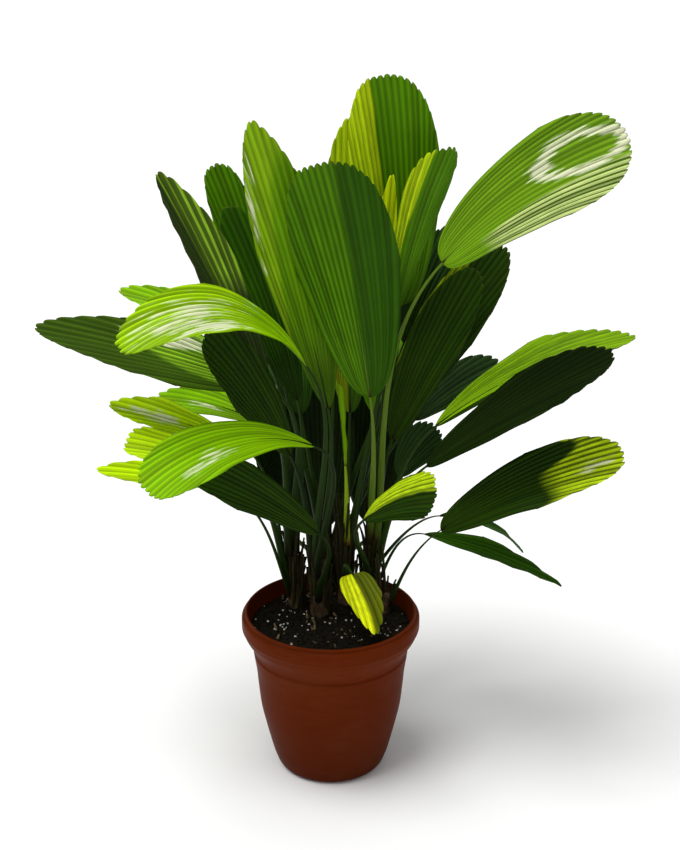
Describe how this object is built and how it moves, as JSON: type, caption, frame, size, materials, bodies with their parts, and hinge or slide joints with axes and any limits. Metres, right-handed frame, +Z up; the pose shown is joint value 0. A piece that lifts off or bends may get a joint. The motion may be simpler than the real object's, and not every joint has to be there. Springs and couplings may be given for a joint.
{
  "type": "potted licuala palm",
  "caption": "Potted licuala palm: a clump of upright and arching pleated paddle leaves on slender stalks, from short stems in a bell-shaped pot that stands on its flat underside",
  "frame": {"origin": "the middle of the pot's flat underside", "axes": "+Z up, +X to the right of the palm as pictured, -Y its front"},
  "size_m": [0.9946, 0.6933, 1.1744],
  "materials": {
    "pot_plastic": "terracotta-brown moulded plastic, slightly scuffed",
    "potting_soil": "dark moist potting soil with white perlite specks",
    "stem_fibre": "brown fibrous leaf bases",
    "leaf_stalk": "smooth light green stalk",
    "leaf_blade": "pleated green leaf, slightly glossy"
  },
  "bodies": {
    "root": {"frond_back_1": "leaf_blade", "frond_back_2": "leaf_blade", "frond_back_3": "leaf_blade", "frond_back_4": "leaf_blade", "frond_back_4_stalk": "leaf_stalk", "frond_back_5": "leaf_blade", "frond_back_5_stalk": "leaf_stalk", "frond_back_6": "leaf_blade", "frond_back_6_stalk": "leaf_stalk", "frond_crown_1": "leaf_blade", "frond_crown_10": "leaf_blade", "frond_crown_11": "leaf_blade", "frond_crown_12": "leaf_blade", "frond_crown_2": "leaf_blade", "frond_crown_3": "leaf_blade", "frond_crown_4": "leaf_blade", "frond_crown_5": "leaf_blade", "frond_crown_6": "leaf_blade", "frond_crown_7": "leaf_blade", "frond_crown_8": "leaf_blade", "frond_crown_9": "leaf_blade", "frond_front_1": "leaf_blade", "frond_front_2": "leaf_blade", "frond_front_2_stalk": "leaf_stalk", "frond_left_1": "leaf_blade", "frond_left_10": "leaf_blade", "frond_left_2": "leaf_blade", "frond_left_2_stalk": "leaf_stalk", "frond_left_3": "leaf_blade", "frond_left_3_stalk": "leaf_stalk", "frond_left_4": "leaf_blade", "frond_left_4_stalk": "leaf_stalk", "frond_left_5": "leaf_blade", "frond_left_5_stalk": "leaf_stalk", "frond_left_6": "leaf_blade", "frond_left_6_stalk": "leaf_stalk", "frond_left_7": "leaf_blade", "frond_left_7_stalk": "leaf_stalk", "frond_left_8": "leaf_blade", "frond_left_8_stalk": "leaf_stalk", "frond_left_9": "leaf_blade", "frond_right_1": "leaf_blade", "frond_right_2": "leaf_blade", "frond_right_3": "leaf_blade", "frond_right_4": "leaf_blade", "frond_right_5": "leaf_blade", "frond_right_6": "leaf_blade", "frond_right_6_stalk": "leaf_stalk", "frond_right_7": "leaf_blade", "frond_right_7_stalk": "leaf_stalk", "frond_right_8": "leaf_blade", "frond_spear": "leaf_blade", "pot": "pot_plastic", "soil": "potting_soil", "stem_back": "stem_fibre", "stem_front": "stem_fibre", "stem_left": "stem_fibre", "stem_middle": "stem_fibre", "stem_outer": "stem_fibre", "stem_right": "stem_fibre"}
  },
  "joints": []
}
